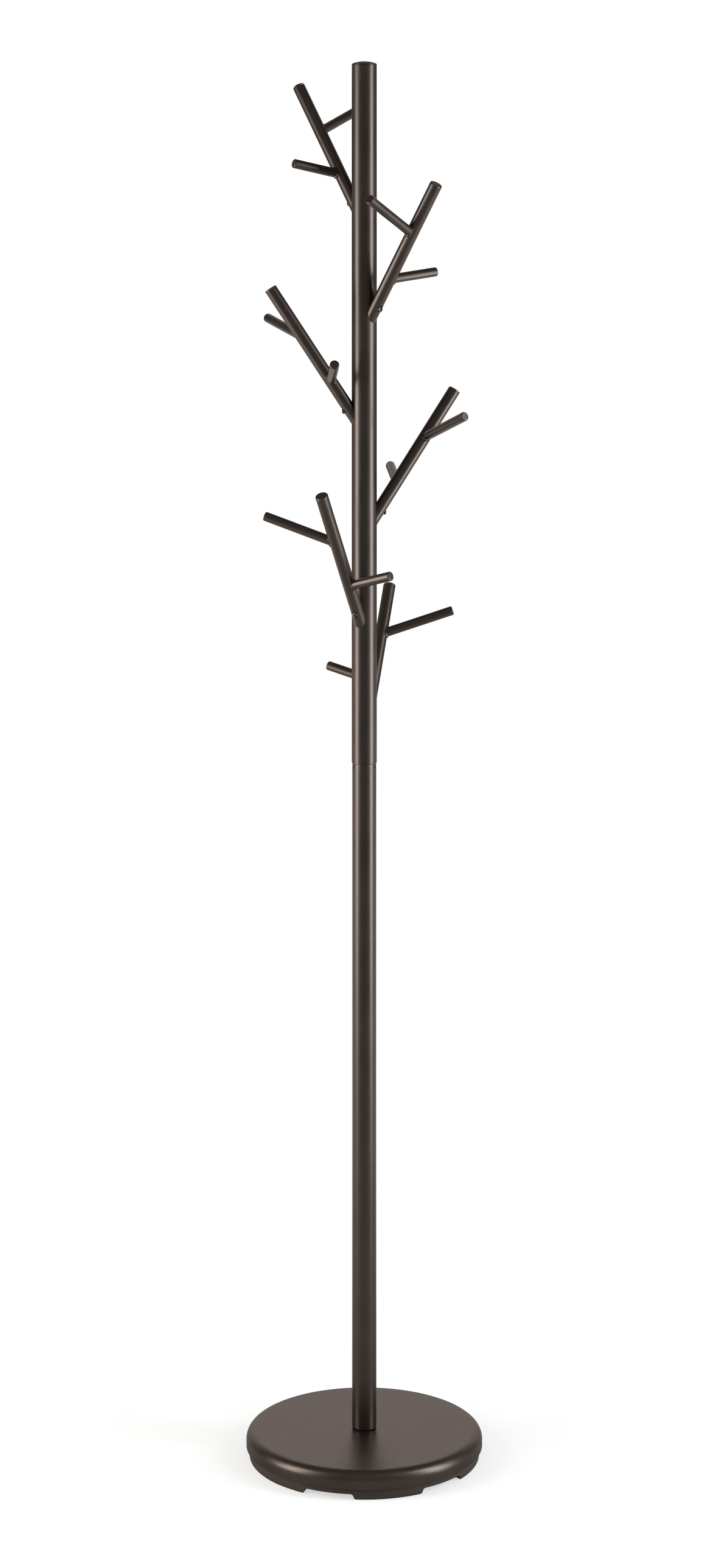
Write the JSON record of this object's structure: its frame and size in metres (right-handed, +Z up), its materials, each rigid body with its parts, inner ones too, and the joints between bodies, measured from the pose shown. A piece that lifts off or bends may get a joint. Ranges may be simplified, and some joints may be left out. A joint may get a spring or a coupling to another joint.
{
  "type": "standing coat rack",
  "caption": "Free-standing tree coat rack: round weighted base, sectional tubular pole and leaning metal arms with side twigs that hold coats, hats and bags.",
  "frame": {"origin": "on the floor at the centre of the base, under the pole's axis", "axes": "+Z up along the pole, -Y towards the front"},
  "size_m": [0.3, 0.3, 1.775],
  "materials": {
    "coated_steel": "satin dark bronze powder coat",
    "cap_plastic": "satin dark bronze moulding",
    "ballast": "cast cement",
    "tray_plastic": "moulded black plastic",
    "screw_steel": "blackened steel",
    "zinc_steel": "zinc plated"
  },
  "bodies": {
    "root": {"base_cover": "coated_steel", "lower_pole": "coated_steel", "upper_pole": "coated_steel", "twig_welds": "coated_steel", "arm_1": "coated_steel", "upper_twig_1": "coated_steel", "lower_twig_1": "coated_steel", "arm_cap_1": "cap_plastic", "arm_plug_1": "zinc_steel", "arm_2": "coated_steel", "upper_twig_2": "coated_steel", "lower_twig_2": "coated_steel", "arm_cap_2": "cap_plastic", "arm_plug_2": "zinc_steel", "arm_3": "coated_steel", "upper_twig_3": "coated_steel", "lower_twig_3": "coated_steel", "arm_cap_3": "cap_plastic", "arm_plug_3": "zinc_steel", "arm_4": "coated_steel", "upper_twig_4": "coated_steel", "lower_twig_4": "coated_steel", "arm_cap_4": "cap_plastic", "arm_plug_4": "zinc_steel", "arm_5": "coated_steel", "upper_twig_5": "coated_steel", "lower_twig_5": "coated_steel", "arm_cap_5": "cap_plastic", "arm_plug_5": "zinc_steel", "arm_6": "coated_steel", "upper_twig_6": "coated_steel", "lower_twig_6": "coated_steel", "arm_cap_6": "cap_plastic", "arm_plug_6": "zinc_steel", "pole_cap": "cap_plastic", "base_ballast": "ballast", "base_tray": "tray_plastic", "branch_screws": "screw_steel", "centre_bolt": "zinc_steel", "bolt_washer": "zinc_steel", "lower_pole_foot_plug": "zinc_steel", "lower_pole_seam_plug": "zinc_steel", "upper_pole_seam_plug": "zinc_steel", "joint_stud": "zinc_steel", "branch_inserts": "zinc_steel"}
  },
  "joints": []
}
